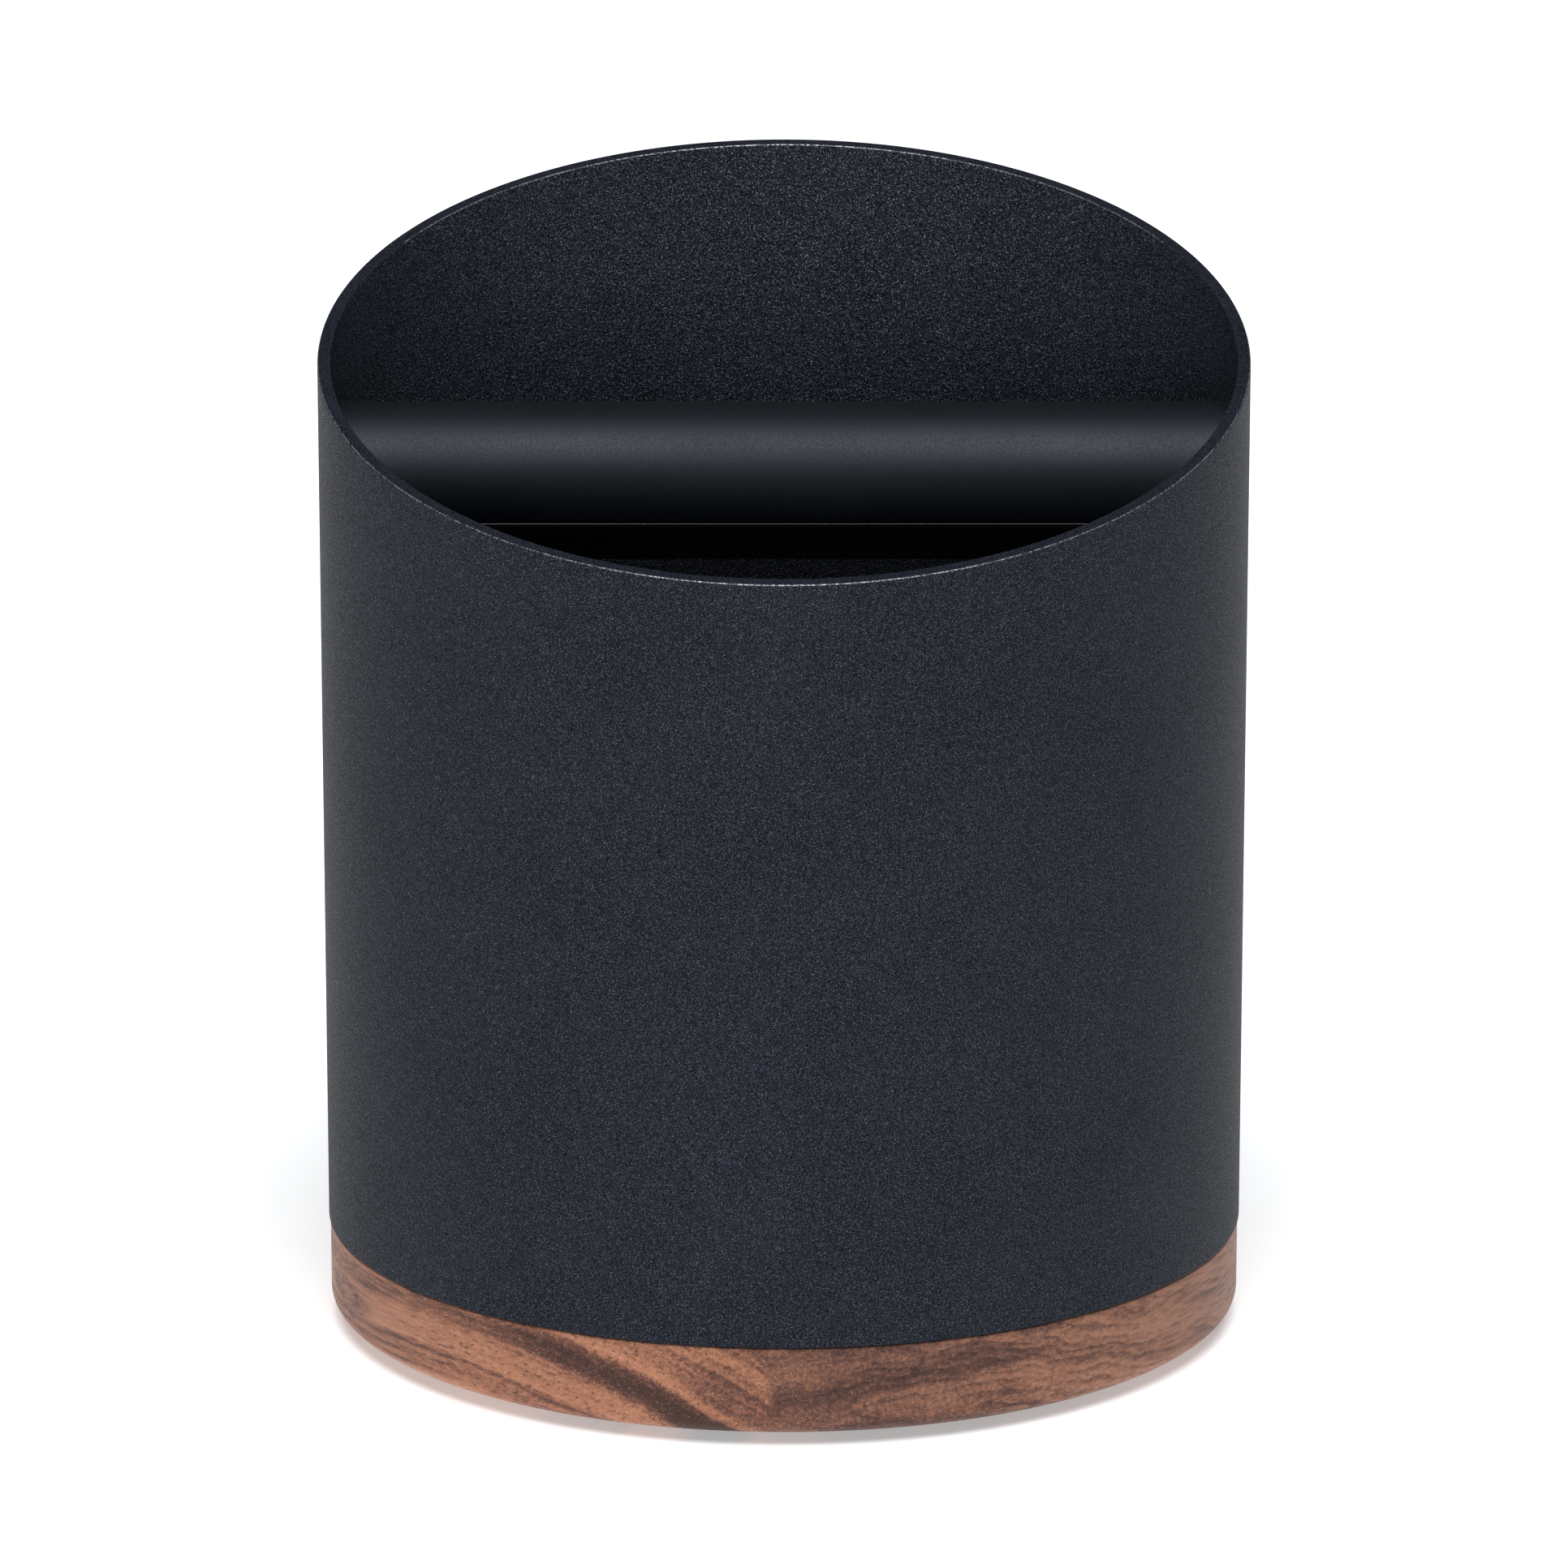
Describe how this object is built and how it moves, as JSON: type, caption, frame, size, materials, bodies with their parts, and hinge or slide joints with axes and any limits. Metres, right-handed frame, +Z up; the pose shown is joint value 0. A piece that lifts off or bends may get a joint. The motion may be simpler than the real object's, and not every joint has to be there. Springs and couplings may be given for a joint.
{
  "type": "espresso knock box",
  "caption": "Round countertop knock box with a slanting rim, a walnut base and a padded bar that lifts out; spent coffee pucks are knocked off on the bar into the tube.",
  "frame": {"origin": "centre of the round footprint, on the surface that the box stands on", "axes": "+Z up, -Y to the front (the low side of the slanting rim), +X to the right, along the knock bar"},
  "size_m": [0.14, 0.14, 0.1691],
  "materials": {
    "powder_coat": "fine-textured matt powder coat, charcoal black with a slight blue tint",
    "walnut": "oiled walnut, turned and sanded, satin",
    "black_silicone": "matt black silicone",
    "bar_silicone": "smooth satin black silicone",
    "black_anodised": "black anodised extrusion, satin",
    "black_nylon": "moulded nylon, fine spark texture",
    "stainless_steel": "plain stainless fastener finish"
  },
  "bodies": {
    "box": {"body_tube": "powder_coat", "floor_plate": "powder_coat", "bar_hanger_left": "powder_coat", "bar_hanger_right": "powder_coat", "walnut_base": "walnut", "antislip_ring": "black_silicone", "hanger_boot_left": "black_silicone", "hanger_boot_right": "black_silicone", "threaded_boss_1": "stainless_steel", "threaded_boss_2": "stainless_steel", "threaded_boss_3": "stainless_steel", "threaded_boss_4": "stainless_steel", "base_washer_1": "stainless_steel", "base_washer_2": "stainless_steel", "base_washer_3": "stainless_steel", "base_washer_4": "stainless_steel", "base_screw_1": "stainless_steel", "base_screw_2": "stainless_steel", "base_screw_3": "stainless_steel", "base_screw_4": "stainless_steel"},
    "knock_bar": {"bar_core": "black_anodised", "bar_sleeve": "bar_silicone", "bar_end_block_left": "black_nylon", "bar_end_block_right": "black_nylon", "bar_end_screw_left": "stainless_steel", "bar_end_screw_right": "stainless_steel"}
  },
  "joints": [
    {"name": "knock_bar_lift", "type": "slide", "parent": "box", "child": "knock_bar", "axis": [0, 0, 1], "range_m": [0, 0.06]}
  ]
}
